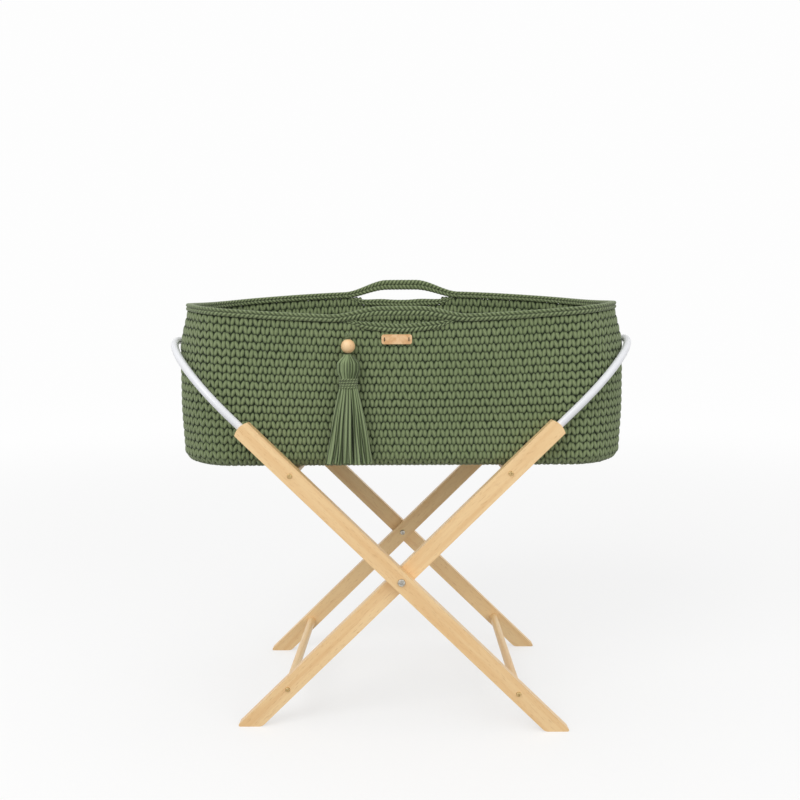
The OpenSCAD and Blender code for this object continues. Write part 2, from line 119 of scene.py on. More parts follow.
class Nodes:
    """A short way to write a node material: each call adds a node and links its inputs."""

    def __init__(self, name):
        self.material = bpy.data.materials.new(name)
        self.material.use_nodes = True
        self.tree = self.material.node_tree
        self.shader = self.tree.nodes["Principled BSDF"]

    def add(self, kind, settings=None, **inputs):
        node = self.tree.nodes.new(kind)
        for key, value in (settings or {}).items():
            setattr(node, key, value)
        for key, value in inputs.items():
            name = int(key[1:]) if key[0] == "i" and key[1:].isdigit() else key.replace("_", " ")
            self.put(node.inputs[name], value)
        return node

    def put(self, socket, value):
        if isinstance(value, bpy.types.NodeSocket):
            self.tree.links.new(value, socket)
        else:
            socket.default_value = value

    def math(self, operation, a, b=0.0, c=0.0):
        node = self.add("ShaderNodeMath", {"operation": operation}, i0=a, i1=b, i2=c)
        return node.outputs[0]

    def dot(self, vector, direction, scale):
        """How far the point lies along a direction, times scale."""
        node = self.add("ShaderNodeVectorMath", {"operation": "DOT_PRODUCT"}, i0=vector,
                        i1=[c * scale for c in direction])
        return node.outputs["Value"]

    def combine(self, x, y, z):
        return self.add("ShaderNodeCombineXYZ", X=x, Y=y, Z=z).outputs[0]

    def noise(self, vector, scale, detail=3.0, distortion=0.0, rough=0.5):
        return self.add("ShaderNodeTexNoise", Vector=vector, Scale=scale, Detail=detail,
                        Roughness=rough, Distortion=distortion).outputs["Fac"]

    def ramp(self, value, low, high):
        """0 below low, 1 above high, smooth between."""
        return self.add("ShaderNodeMapRange", {"interpolation_type": "SMOOTHSTEP"}, Value=value,
                        From_Min=low, From_Max=high).outputs["Result"]

    def blend(self, factor, a, b):
        node = self.add("ShaderNodeMix", {"data_type": "RGBA"}, i0=factor)
        self.put(node.inputs[6], rgba(a) if isinstance(a, tuple) else a)
        self.put(node.inputs[7], rgba(b) if isinstance(b, tuple) else b)
        return node.outputs[2]

    def bump(self, height, distance, strength=1.0, normal=None):
        node = self.add("ShaderNodeBump", Height=height, Distance=distance, Strength=strength)
        if normal is not None:
            self.put(node.inputs["Normal"], normal)
        return node.outputs[0]

    def finish(self, color, roughness, normal=None, **constants):
        """Links the shader's main inputs, sets the others, and returns the material."""
        self.put(self.shader.inputs["Base Color"], color)
        self.put(self.shader.inputs["Roughness"], roughness)
        if normal is not None:
            self.put(self.shader.inputs["Normal"], normal)
        for key, value in constants.items():
            self.shader.inputs[key.replace("_", " ")].default_value = value
        return self.material


def rgba(color):
    return (color[0], color[1], color[2], 1.0)


def srgb(red, green, blue):
    """Linear colour of an sRGB triple out of 255."""
    def linear(c):
        c /= 255.0
        return c / 12.92 if c <= 0.04045 else ((c + 0.055) / 1.055) ** 2.4
    return (linear(red), linear(green), linear(blue))


def wood(name, along, light, dark, fleck, gloss=0.42):
    """Lacquered wood with its grain along a direction, drawn out grain lines and short ray flecks."""
    n = Nodes(name)
    place = n.add("ShaderNodeTexCoord").outputs["Object"]
    along = Vector(along).normalized()
    other = Vector((0, 1, 0)) if abs(along.y) < 0.5 else Vector((1, 0, 0))
    across = along.cross(other)
    grain_at = n.combine(n.dot(place, along, 3.2), n.dot(place, across, 62), n.dot(place, other, 62))
    fleck_at = n.combine(n.dot(place, along, 95), n.dot(place, across, 1050), n.dot(place, other, 1050))
    grain = n.noise(grain_at, 1.0, detail=5.0, distortion=0.5, rough=0.55)
    cloud = n.noise(place, 7.0, detail=2.0)
    flecks = n.ramp(n.noise(fleck_at, 1.0, detail=1.0), 0.62, 0.72)
    color = n.blend(n.ramp(grain, 0.36, 0.68), light, dark)
    color = n.blend(n.math("MULTIPLY", n.ramp(cloud, 0.3, 0.75), 0.3), color, dark)
    color = n.blend(n.math("MULTIPLY", flecks, 0.5), color, fleck)
    rough = n.math("ADD", n.math("MULTIPLY", grain, 0.12), gloss - 0.06)
    lines = n.math("SUBTRACT", n.math("MULTIPLY", grain, 0.6), n.math("MULTIPLY", flecks, 0.5))
    return n.finish(color, rough, n.bump(lines, 0.00025, 0.5), Coat_Weight=0.12, Coat_Roughness=0.3)


def metal(name, color, dull, gloss):
    """Plated metal with a fine brushed grain and a few dull patches."""
    n = Nodes(name)
    place = n.add("ShaderNodeTexCoord").outputs["Object"]
    brushed = n.noise(n.combine(n.dot(place, (1, 0, 0), 300), n.dot(place, (0, 1, 0), 300),
                                n.dot(place, (0, 0, 1), 4200)), 1.0, detail=2.0)
    patches = n.noise(place, 420.0, detail=3.0)
    shade = n.blend(n.ramp(patches, 0.4, 0.75), color, dull)
    rough = n.math("ADD", n.math("MULTIPLY", patches, 0.22), gloss - 0.1)
    return n.finish(shade, rough, n.bump(brushed, 0.00004, 0.4), Metallic=1.0)


def powder_coat():
    """White powder coat on the bows: a fine orange peel and faint rub marks."""
    n = Nodes("white_powder_coat")
    place = n.add("ShaderNodeTexCoord").outputs["Object"]
    peel = n.noise(place, 950.0, detail=2.0)
    rub = n.ramp(n.noise(place, 38.0, detail=5.0, distortion=0.6), 0.52, 0.78)
    color = n.blend(n.math("MULTIPLY", rub, 0.35), srgb(236, 237, 241), srgb(220, 220, 222))
    rough = n.math("ADD", n.math("MULTIPLY", rub, 0.14), 0.3)
    return n.finish(color, rough, n.bump(peel, 0.00012, 0.35), Coat_Weight=0.15, Coat_Roughness=0.25)


def yarn(name, crest, side, groove, ply=3.0, slant=1.15):
    """Cotton yarn with painted light.  The mask attribute is 1 on a stitch's crest and 0 in its groove: the
    crest colour is a painted highlight and the groove colour painted shade.
    The attribute shade is a stitch's own random lightness; plies run slantwise over the stitch's UV map, with
    painted shade in the grooves between them."""
    n = Nodes(name)
    coords = n.add("ShaderNodeTexCoord")
    place, uv = coords.outputs["Object"], coords.outputs["UV"]
    painted_light_mask = n.add("ShaderNodeAttribute", {"attribute_name": "painted_light_mask"}).outputs["Fac"]
    shade = n.add("ShaderNodeAttribute", {"attribute_name": "shade"}).outputs["Fac"]
    split = n.add("ShaderNodeSeparateXYZ", Vector=uv)
    turn = n.math("ADD", n.math("MULTIPLY", split.outputs[0], ply),
                  n.math("MULTIPLY_ADD", split.outputs[1], slant, 0.5))
    plies = n.math("ABSOLUTE", n.math("SINE", n.math("MULTIPLY", turn, math.pi)))
    fibre = n.noise(place, 1500.0, detail=3.0, distortion=0.8, rough=0.65)
    fuzz = n.noise(place, 420.0, detail=3.0)
    cloud = n.noise(place, 9.0, detail=3.0)
    # painted shade: the groove colour where the mask is low, in the hollows between stitches and plies
    color = n.blend(n.ramp(painted_light_mask, 0.25, 0.9), groove, side)
    # painted highlight: the crest colour where the mask is high, on each stitch's crown
    color = n.blend(n.ramp(painted_light_mask, 0.55, 1.0), color, crest)
    color = n.blend(n.math("MULTIPLY", n.ramp(shade, 0.1, 1.0), 0.28), color, crest)
    color = n.blend(n.math("MULTIPLY", n.ramp(cloud, 0.35, 0.75), 0.22), color, side)
    # painted shade in the grooves between the plies
    color = n.blend(n.math("MULTIPLY", n.ramp(plies, 0.45, 0.05), 0.38), color, groove)
    color = n.blend(n.math("MULTIPLY", n.ramp(fibre, 0.5, 0.8), 0.3), color, crest)
    height = n.math("ADD", n.math("MULTIPLY", plies, 0.6), n.math("MULTIPLY", fuzz, 0.5))
    normal = n.bump(fibre, 0.00035, 0.5, n.bump(height, 0.0007, 0.6))
    return n.finish(color, 0.86, normal, Sheen_Weight=0.25, Sheen_Roughness=0.5,
                    Specular_IOR_Level=0.2)


def leather():
    """Bare vegetable-tanned leather: pebbled grain, pores and a slightly burnished tone."""
    n = Nodes("tan_leather")
    place = n.add("ShaderNodeTexCoord").outputs["Object"]
    cells = n.add("ShaderNodeTexVoronoi", {"feature": "DISTANCE_TO_EDGE"}, Vector=place,
                  Scale=1100.0).outputs["Distance"]
    pores = n.ramp(n.noise(place, 2100.0, detail=1.0), 0.62, 0.75)
    cloud = n.noise(place, 90.0, detail=5.0, distortion=0.7)
    color = n.blend(n.ramp(cloud, 0.35, 0.7), srgb(243, 202, 154), srgb(222, 171, 118))
    color = n.blend(n.math("MULTIPLY", pores, 0.5), color, srgb(150, 100, 62))
    height = n.math("SUBTRACT", n.ramp(cells, 0.0, 0.25), n.math("MULTIPLY", pores, 0.6))
    rough = n.math("ADD", n.math("MULTIPLY", cloud, 0.2), 0.42)
    return n.finish(color, rough, n.bump(height, 0.0002, 0.5), Specular_IOR_Level=0.4)


def cotton_cover():
    """Plain woven cotton: warp and weft half a millimetre apart, with slubs."""
    n = Nodes("cotton_cover")
    place = n.add("ShaderNodeTexCoord").outputs["Object"]
    warp = n.math("SINE", n.dot(place, (1, 0, 0.25), 2 * math.pi / 0.0011))
    weft = n.math("SINE", n.dot(place, (0, 1, 0.25), 2 * math.pi / 0.0011))
    slubs = n.noise(n.combine(n.dot(place, (1, 0, 0), 22), n.dot(place, (0, 1, 0), 520),
                              n.dot(place, (0, 0, 1), 520)), 1.0, detail=3.0)
    cloud = n.noise(place, 16.0, detail=4.0)
    color = n.blend(n.math("MULTIPLY", n.ramp(slubs, 0.45, 0.75), 0.4),
                    srgb(248, 246, 240), srgb(228, 222, 208))
    color = n.blend(n.math("MULTIPLY", n.ramp(cloud, 0.4, 0.8), 0.3), color, srgb(232, 226, 213))
    height = n.math("ADD", n.math("MULTIPLY", warp, weft), slubs)
    return n.finish(color, 0.88, n.bump(height, 0.00018, 0.5), Sheen_Weight=0.2, Sheen_Roughness=0.5)


def hardboard():
    """Brown hardboard: short matted fibres."""
    n = Nodes("hardboard")
    place = n.add("ShaderNodeTexCoord").outputs["Object"]
    fibres = n.noise(place, 800.0, detail=6.0, distortion=1.4, rough=0.7)
    cloud = n.noise(place, 24.0, detail=3.0)
    color = n.blend(n.ramp(fibres, 0.35, 0.7), srgb(176, 136, 96), srgb(128, 92, 60))
    color = n.blend(n.math("MULTIPLY", cloud, 0.3), color, srgb(150, 112, 76))
    return n.finish(color, 0.72, n.bump(fibres, 0.00025, 0.5))


GRAIN_RIGHT = (math.cos(LEG_ANGLE), 0, math.sin(LEG_ANGLE))
GRAIN_LEFT = (-math.cos(LEG_ANGLE), 0, math.sin(LEG_ANGLE))
BEECH = (srgb(250, 216, 163), srgb(238, 196, 140), srgb(202, 152, 98))
beech_right = wood("beech_right", GRAIN_RIGHT, *BEECH)
beech_left = wood("beech_left", GRAIN_LEFT, *BEECH)
beech_dowel = wood("beech_dowel", (0, 1, 0), *BEECH)
bead_wood = wood("bead_wood", (0, 0, 1), srgb(251, 215, 166), srgb(238, 194, 140), srgb(196, 142, 90), 0.36)
brass = metal("brass_plate", srgb(205, 178, 128), srgb(150, 122, 80), 0.36)
nickel = metal("nickel_plate", srgb(196, 192, 182), srgb(128, 124, 116), 0.34)
white_coat = powder_coat()
# Each yarn gives crest, side and groove colours: the crest colour is a painted highlight and the groove
# colour painted shade.
GREEN = (srgb(136, 149, 108), srgb(101, 117, 76), srgb(21, 30, 11))
green_yarn = yarn("green_yarn", *GREEN)
green_rope = yarn("green_rope", srgb(143, 156, 116), srgb(112, 127, 86), srgb(50, 61, 34), ply=2.0)
green_tassel = yarn("green_tassel", srgb(142, 157, 116), srgb(118, 135, 92), srgb(48, 60, 32), ply=0.0,
                    slant=0.0)
# the core yarn is dark all over: painted shade for the hollows deep between the stitches
painted_shade_core_yarn = yarn("painted_shade_core_yarn", srgb(52, 66, 38), srgb(40, 52, 28), srgb(26, 36, 16))
dark_thread = yarn("dark_thread", srgb(86, 70, 50), srgb(62, 50, 36), srgb(30, 24, 18))
tan_leather = leather()
cover = cotton_cover()
board_fibre = hardboard()

# ------------------------------------------------------------ mesh helpers


def make_piece(name, body, material, verts, quads, uv=None, painted_light_mask=None, shade=None, replaces=()):
    """A smooth piece from vertices in mm and faces, riding on a body."""
    mesh = bpy.data.meshes.new(name)
    mesh.from_pydata((np.asarray(verts) * MM).tolist(), [], np.asarray(quads).tolist()
                     if isinstance(quads, np.ndarray) else quads)
    mesh.shade_smooth()
    count = len(mesh.vertices)
    for key, values in (("painted_light_mask", painted_light_mask), ("shade", shade)):
        values = np.full(count, 0.7) if values is None else np.asarray(values)
        layer = mesh.attributes.new(key, "FLOAT", "POINT")
        layer.data.foreach_set("value", values.astype(np.float32))
    layer = mesh.uv_layers.new(name="stitch")
    loops = np.zeros(len(mesh.loops), np.int32)
    mesh.loops.foreach_get("vertex_index", loops)
    flat = np.zeros((count, 2)) if uv is None else np.asarray(uv)
    layer.data.foreach_set("uv", flat[loops].astype(np.float32).ravel())
    mesh.materials.append(material)
    piece = bpy.data.objects.new(name, mesh)
    bpy.context.scene.collection.objects.link(piece)
    return settle(piece, body, replaces)


def settle(piece, body, replaces=()):
    """Says what a piece rides on, and the CAD nodes that it stands for."""
    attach(piece, body)
    if replaces:
        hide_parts(*replaces)
    return piece


def grid_quads(rows, columns, closed_rows=False, closed_columns=False):
    """Quads of a grid of rows x columns vertices, numbered row by row."""
    r = np.arange(rows if closed_rows else rows - 1)
    c = np.arange(columns if closed_columns else columns - 1)
    r, c = (a.ravel() for a in np.meshgrid(r, c, indexing="ij"))
    r2, c2 = (r + 1) % rows, (c + 1) % columns
    return np.stack([r * columns + c, r * columns + c2, r2 * columns + c2, r2 * columns + c], 1)


def unit(v):
    return v / np.maximum(np.linalg.norm(v, axis=-1, keepdims=True), 1e-9)


class Stock:
    """Collects the stitches or ropes of one piece, then makes it."""

    def __init__(self):
        self.parts, self.count = [], 0

    def add(self, verts, quads, uv, painted_light_mask, shade):
        self.parts.append((verts, quads + self.count, uv, painted_light_mask, shade))
        self.count += len(verts)

    def piece(self, name, body, material, slot, replaces=()):
        verts, quads, uv, painted_light_mask, shade = (np.concatenate(x) for x in zip(*self.parts))
        return make_piece(name, body, material, verts, quads, uv, painted_light_mask, shade, replaces)


def stitches(stock, centre, up, out, half_length, half_width, depth, lean, across=6, along=7, tuck=0.7):
    """Half-oval stitches lying on a surface.  Each stands along up, leans sideways by lean
    radians, bulges along out by depth, and its upper end is tucked in under the next row."""
    side = np.cross(up, out)
    turned = up * np.cos(lean)[:, None] + side * np.sin(lean)[:, None]
    side = np.cross(turned, out)
    a = np.linspace(-1, 1, along)
    b = np.linspace(-1, 1, across)
    b_grid, a_grid = (g.ravel() for g in np.meshgrid(b, a))
    y = np.sin(a_grid * math.pi / 2)
    width = np.cos(a_grid * math.pi / 2 * 0.97) ** 0.68
    bulge = width * np.cos(b_grid * math.pi / 2 * 0.96) ** 0.75
    x = np.sin(b_grid * math.pi / 2) * width
    verts = (centre[:, None, :]
             + side[:, None, :] * x[None, :, None] * half_width[:, None, None]
             + turned[:, None, :] * y[None, :, None] * half_length[:, None, None]
             + out[:, None, :] * (bulge * depth - tuck * (y + 1) / 2)[None, :, None])
    number = len(centre)
    quads = grid_quads(along, across)
    quads = (quads[None] + (np.arange(number) * across * along)[:, None, None]).reshape(-1, 4)
    uv = np.tile(np.stack([b_grid, a_grid], 1) / 2 + 0.5, (number, 1))
    shade = np.repeat(rng.uniform(0, 1, number), across * along)
    # the bulge goes out as the mask for the yarn's painted highlight and painted shade
    stock.add(verts.reshape(-1, 3), quads, uv, np.tile(bulge, number), shade)


def transport(points):
    """Sideways and upward directions along a path that turn as little as they can."""
    tangent = unit(np.gradient(points, axis=0))
    start = np.array([0.0, 1.0, 0.0]) if abs(tangent[0][1]) < 0.9 else np.array([1.0, 0.0, 0.0])
    side = [unit(np.cross(tangent[0], start))]
    for t in tangent[1:]:
        side.append(unit(side[-1] - t * np.dot(side[-1], t)))
    side = np.array(side)
    return side, np.cross(tangent, side)


def rope(stock, points, radius_side, radius_up, pitch, side=None, up=None, plies=2, groove=0.2,
         facets=8, closed=False, phase=0.0):
    """A plied rope along points: its surface is drawn in along grooves that wind around it."""
    if side is None:
        side, up = transport(points)
    steps = np.linalg.norm(np.diff(points, axis=0, append=points[:1] if closed else points[-1:]), axis=1)
    s = np.concatenate([[0], np.cumsum(steps)[:-1]])
    if closed:
        pitch = steps.sum() / max(1, round(steps.sum() / pitch))
    angle = np.arange(facets) * 2 * math.pi / facets
    crest = np.abs(np.cos((angle[None] - (2 * math.pi * s / pitch)[:, None]) * plies / 2 + phase))
    swell = 1 - groove + groove * crest ** 0.6
    radius_side = np.broadcast_to(radius_side, s.shape)[:, None]
    radius_up = np.broadcast_to(radius_up, s.shape)[:, None]
    verts = (points[:, None, :]
             + side[:, None, :] * (np.cos(angle)[None] * radius_side * swell)[..., None]
             + up[:, None, :] * (np.sin(angle)[None] * radius_up * swell)[..., None])
    uv = np.stack([np.broadcast_to(angle / 2 / math.pi, crest.shape),
                   np.broadcast_to((s / pitch)[:, None], crest.shape)], -1)
    shade = np.full(verts.shape[0] * facets, rng.uniform(0.2, 0.8))
    # the ply crest goes out as the mask for the yarn's painted highlight and painted shade
    stock.add(verts.reshape(-1, 3), grid_quads(len(points), facets, closed, True), uv.reshape(-1, 2),
              crest.ravel(), shade)


def refined(node, material, bevel=0.0, angle=35):
    """A copy of a CAD node with merged, smooth faces and softened edges, in its place."""
    cad = frame["nodes"][node]
    mesh = cad.data.copy()
    mesh.name = node + "_finished"
    work = bmesh.new()
    work.from_mesh(mesh)
    bmesh.ops.remove_doubles(work, verts=work.verts, dist=0.00001)
    bmesh.ops.dissolve_limit(work, angle_limit=math.radians(0.6), verts=work.verts, edges=work.edges)
    if bevel:
        sharp = [e for e in work.edges
                 if len(e.link_faces) == 2 and e.calc_face_angle(0) > math.radians(angle)]
        bmesh.ops.bevel(work, geom=sharp, offset=bevel * MM, segments=3, profile=0.5,
                        affect="EDGES", clamp_overlap=True)
    work.to_mesh(mesh)
    work.free()
    mesh.materials.clear()
    mesh.materials.append(material)
    mesh.shade_smooth()
    mesh.set_sharp_from_angle(angle=math.radians(angle))
    piece = bpy.data.objects.new(node + "_finished", mesh)
    bpy.context.scene.collection.objects.link(piece)
    if bevel:
        piece.modifiers.new("even_shading", "WEIGHTED_NORMAL").keep_sharp = True
    return settle(piece, cad["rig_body"], (node,))


# --------------------------------------------------------- basket's outline


def outline(count=6000):
    """Points of the basket's plan, their outward directions and distances along the edge.
    It starts at the middle of the front and runs to the right."""
    t = np.linspace(0, 1, count, endpoint=False)
    end = np.linspace(-math.pi / 2, math.pi / 2, count, endpoint=False)
    half = BASKET_WIDTH / 2
    side = np.stack([STRAIGHT * (2 * t - 1), np.full(count, -half)], 1)
    arc = np.stack([STRAIGHT + END_DEPTH * np.cos(end), half * np.sin(end)], 1)
    loop = np.concatenate([side, arc, -side, -arc])
    loop = np.roll(loop, -count // 2, axis=0)
    steps = np.linalg.norm(np.roll(loop, -1, axis=0) - loop, axis=1)
    distance = np.concatenate([[0], np.cumsum(steps)])
    ahead = unit(np.roll(loop, -3, axis=0) - np.roll(loop, 3, axis=0))
    return loop, np.stack([ahead[:, 1], -ahead[:, 0]], 1), distance


LOOP, LOOP_OUT, LOOP_DISTANCE = outline()
PERIMETER = LOOP_DISTANCE[-1]


def at(distance):
    """Point and outward direction of the plan at distances along it."""
    distance = np.asarray(distance) % PERIMETER
    i = np.clip(np.searchsorted(LOOP_DISTANCE, distance) - 1, 0, len(LOOP) - 1)
    j = (i + 1) % len(LOOP)
    t = ((distance - LOOP_DISTANCE[i]) / (LOOP_DISTANCE[i + 1] - LOOP_DISTANCE[i]))[:, None]
    return LOOP[i] * (1 - t) + LOOP[j] * t, unit(LOOP_OUT[i] * (1 - t) + LOOP_OUT[j] * t)


def smooth(t):
    t = np.clip(t, 0, 1)
    return t * t * (3 - 2 * t)


def pick(point, values):
    return np.where(point[:, 1] < 0, values["front"], values["rear"])


def rim_line(p):
    s = p[:, 1] / (BASKET_WIDTH / 2 + SIDE_SWELL)
    c = np.cos(np.minimum(math.pi / 2, math.pi / 2 * np.abs(p[:, 0]) / (BASKET_LENGTH / 2)))
    return RIM_HEIGHT + s * (RIM_TILT + RIM_WAVE * c)


def on_handle(p):
    """1 over the middle of a handle and 0 at its ends: a softer arch than the CAD strap's."""
    return smooth(1.34 * (1 - np.abs(p[:, 0]) / (HANDLE_LENGTH / 2)))


def rim_top(p):
    return rim_line(p) + on_handle(p) * pick(p, ARCH)


def band_height(p):
    return RIM_H + (pick(p, STRAP_H) - RIM_H) * on_handle(p)


def lip_top(p):
    in_slot = np.maximum(0, 1 - (p[:, 0] / (pick(p, SLOT_LENGTH) / 2)) ** 2) ** 0.75
    return rim_top(p) - band_height(p) - SOFT_GAP - in_slot * pick(p, SLOT_HEIGHT)


def wall_top(p):
    in_lip = np.maximum(0, 1 - (p[:, 0] / (pick(p, SLOT_LENGTH) / 2 + 18)) ** 4)
    return lip_top(p) - SOFT_GAP - in_lip * LIP_H


def swell(p, out, height):
    """How far the long sides stand out at a height."""
    return SIDE_SWELL * smooth((height - SWELL_FROM) / SWELL_OVER) * np.abs(out[:, 1]) ** 4


def pull(out, height):
    """How far the basket's soft ends lean in below and above the bows that hug them."""
    low, high = END_PULL_LOW * smooth((110 - height) / 110), END_PULL_HIGH * smooth((height - 195) / 95)
    return (low + high) * np.abs(out[:, 0]) ** 1.5


def lift(p, out, height, inset):
    """Points of the wall at a height above the basket's bottom, drawn in by inset."""
    flat = p + out * (swell(p, out, height) - pull(out, height) - inset)[:, None]
    return np.concatenate([flat, (BASKET_Z + height)[:, None]], 1)


# ------------------------------------------------------------ crochet wall
STITCH_DEPTH = 3.4
ROWS = 20
COLUMNS = 274
FOOT_ARC = BASE_ROUND * math.pi / 2


def profile(s, inset):
    """Inset and height of the wall's section at distance s up from the base, and how far
    the section has turned from facing down to facing out."""
    turn = np.minimum(s / BASE_ROUND, math.pi / 2)
    radius = BASE_ROUND - inset
    drawn_in = np.where(s < FOOT_ARC, BASE_ROUND - radius * np.sin(turn), inset)
    height = np.where(s < FOOT_ARC, BASE_ROUND - radius * np.cos(turn), BASE_ROUND + s - FOOT_ARC)
    return drawn_in, height, turn


def wall_stitches(name, start, inside):
    """Half of the wall's outer or inner stitches, from distance start along the plan."""
    stock = Stock()
    columns = np.arange(COLUMNS // 2)
    pitch = PERIMETER / COLUMNS
    for row in range(ROWS):
        distance = start + (columns + 0.5) * pitch + rng.normal(0, 0.25, len(columns))
        ends = smooth((np.abs(at(distance)[0][:, 0]) - STRAIGHT * 0.55) / (STRAIGHT * 0.8))
        distance += (row % 2) * 0.5 * pitch * (1 - ends)
        p, out = at(distance)
        full = FOOT_ARC + rim_line(p) - RIM_H - BASE_ROUND
        tall = full / ROWS
        s = (row + 0.5) * tall + rng.normal(0, 0.25, len(columns))
        inset, height, turn = profile(s, KNIT - STITCH_DEPTH if inside else STITCH_DEPTH)
        keep = height < wall_top(p) + 4.5
        out3 = np.concatenate([out * np.sin(turn)[:, None], -np.cos(turn)[:, None]], 1)
        up3 = np.concatenate([out * np.cos(turn)[:, None], np.sin(turn)[:, None]], 1)
        centre = lift(p, out, height, inset)
        lean = np.where(columns % 2 == 0, 1, -1) * (0.17 + 0.2 * ends) + rng.normal(0, 0.08, len(columns))
        facing = -out3 if inside else out3
        stitches(stock, centre[keep], up3[keep], facing[keep],
                 (tall * rng.normal(0.605, 0.02, len(columns)))[keep],
                 np.full(keep.sum(), pitch * 0.53), STITCH_DEPTH, lean[keep],
                 *((5, 6) if inside else (6, 7)), tuck=1.6)
    return stock.piece(name, "basket", green_yarn, "crochet_yarn", ("basket_wall",))


half_way = PERIMETER / 2
quarter = PERIMETER / 4
wall_stitches("wall_stitches_front", -quarter, False)
wall_stitches("wall_stitches_back", quarter, False)
wall_stitches("wall_lining_front", -quarter, True)
wall_stitches("wall_lining_back", quarter, True)


def wall_shade_core():
    """The wall's body, dark all over as painted shade, seen only deep between the stitches."""
    p, out = at(np.linspace(0, PERIMETER, 420, endpoint=False))
    top = wall_top(p) - 0.5
    rings = []
    for inset, order in ((STITCH_DEPTH + 0.1, 1), (KNIT - STITCH_DEPTH - 0.1, -1)):
        levels = np.concatenate([np.linspace(0, FOOT_ARC, 6), np.linspace(0, 1, 10)[1:] * -1])[::order]
        for level in levels:
            s = np.full(len(p), level) if level >= 0 else FOOT_ARC + (top - BASE_ROUND) * -level
            drawn_in, height, _ = profile(s, inset)
            rings.append(lift(p, out, height, drawn_in))
    verts = np.stack(rings, 0)
    quads = grid_quads(len(rings), len(p), True, True)
    return make_piece("wall_shade_core", "basket", painted_shade_core_yarn, verts.reshape(-1, 3), quads,
                      replaces=("basket_wall",))


wall_shade_core()


def base_crochet():
    """The crocheted base: rows of stitches along its underside, on a core that is dark all over as painted
    shade.
    """
    stock = Stock()
    half = BASKET_WIDTH / 2 - BASE_ROUND
    depth = END_DEPTH - BASE_ROUND
    rows = 22
    for row in range(rows):
        y = -half + (row + 0.5) * 2 * half / rows
        reach = STRAIGHT + depth * math.sqrt(1 - (y / half) ** 2)
        columns = int(2 * reach / 7.3)
        x = -reach + (np.arange(columns) + 0.5) * 2 * reach / columns
        centre = np.stack([x, np.full(columns, y), np.full(columns, BASKET_Z + STITCH_DEPTH)], 1)
        lean = np.where(np.arange(columns) % 2 == 0, 0.2, -0.2) + rng.normal(0, 0.035, columns)
        stitches(stock, centre, np.tile([0.0, 1.0, 0.0], (columns, 1)),
                 np.tile([0.0, 0.0, -1.0], (columns, 1)), np.full(columns, half / rows * 1.35),
                 np.full(columns, 4.1), STITCH_DEPTH, lean, 5, 6)
    stock.piece("base_stitches", "basket", green_yarn, "crochet_yarn", ("basket_base",))
    angle = np.linspace(0, 2 * math.pi, 160, endpoint=False)
    edge = np.stack([np.sign(np.cos(angle)) * STRAIGHT + depth * np.cos(angle), half * np.sin(angle)], 1)
    verts = [np.concatenate([edge * share, np.full((160, 1), BASKET_Z + z)], 1)
             for share, z in ((0.02, 3.2), (1.0, 3.2), (1.0, 7.8), (0.02, 7.8))]
    make_piece("base_shade_core", "basket", painted_shade_core_yarn, np.concatenate(verts),
               grid_quads(4, 160, True, True), replaces=("basket_base",))


base_crochet()

# --------------------------------------------------------- rim and handles
# Strands of a rolled edge: outward and upward place, as shares of its width and
# height, and the same for the strand's radii.
STRANDS = ((0.27, 0.24, 0.25, 0.25), (0.27, -0.24, 0.25, 0.27), (0.0, 0.30, 0.25, 0.20),
           (-0.27, 0.20, 0.25, 0.26), (-0.27, -0.26, 0.25, 0.25))


def rolled_edge(stock, from_, upto, width, low, high, swelling=0.0, pitch=15.0):
    """Winds the strands of a rolled edge between distances along the plan."""
    count = int((upto - from_) / 1.25)
    p, out = at(np.linspace(from_, upto, count))
    bottom, top = low(p), high(p)
    tall = top - bottom
    out3 = np.concatenate([out, np.zeros((count, 1))], 1)
    up3 = np.tile([0.0, 0.0, 1.0], (count, 1))
    middle = lift(p, out, (top + bottom) / 2, KNIT / 2)
    taper = np.ones(count)
    if swelling:
        to_end = np.minimum(np.arange(count), np.arange(count)[::-1])
        taper = np.clip(to_end / (count * swelling), 0.25, 1) ** 0.5
    # A thin core among the strands; its mask is set low so it takes the yarn's groove colour, painted shade
    # seen between the strands.
    rope(stock, middle, width * 0.3 * taper, tall * 0.36, 1e9, out3, up3, groove=0.0, facets=6)
    stock.parts[-1][3][:] = 0.1
    for i, (side, up, radius_side, radius_up) in enumerate(STRANDS):
        line = middle + out3 * (side * width * taper)[:, None] + up3 * (up * tall)[:, None]
        rope(stock, line, radius_side * width * taper, radius_up * tall, pitch * (1 if i % 2 else -1),
             out3, up3, groove=0.23, facets=10, phase=i * 0.9)


def band_piece(name, parts, material, node, width=RIM_W,
               low=lambda p: rim_top(p) - band_height(p), high=rim_top, swelling=0.0):
    stock = Stock()
    for from_, upto in parts:
        rolled_edge(stock, from_, upto, width, low, high, swelling)
    stock.piece(name, "basket", material, "crochet_yarn", (node,))


reach = HANDLE_LENGTH / 2 + 1
band_piece("rim_rolled", [(reach, half_way - reach), (half_way + reach, PERIMETER - reach)],
           green_rope, "rim_band")
band_piece("front_strap", [(-reach, reach)], green_rope, "front_handle")
band_piece("rear_strap", [(half_way - reach, half_way + reach)], green_rope, "rear_handle")
for where, middle in (("front", 0.0), ("rear", half_way)):
    reach = SLOT_LENGTH[where] / 2 + 12
    band_piece(where + "_lip", [(middle - reach, middle + reach)], green_rope, where + "_slot_edge",
               LIP_W, wall_top, lip_top, 0.12)

# ---------------------------------------------------------------- mattress


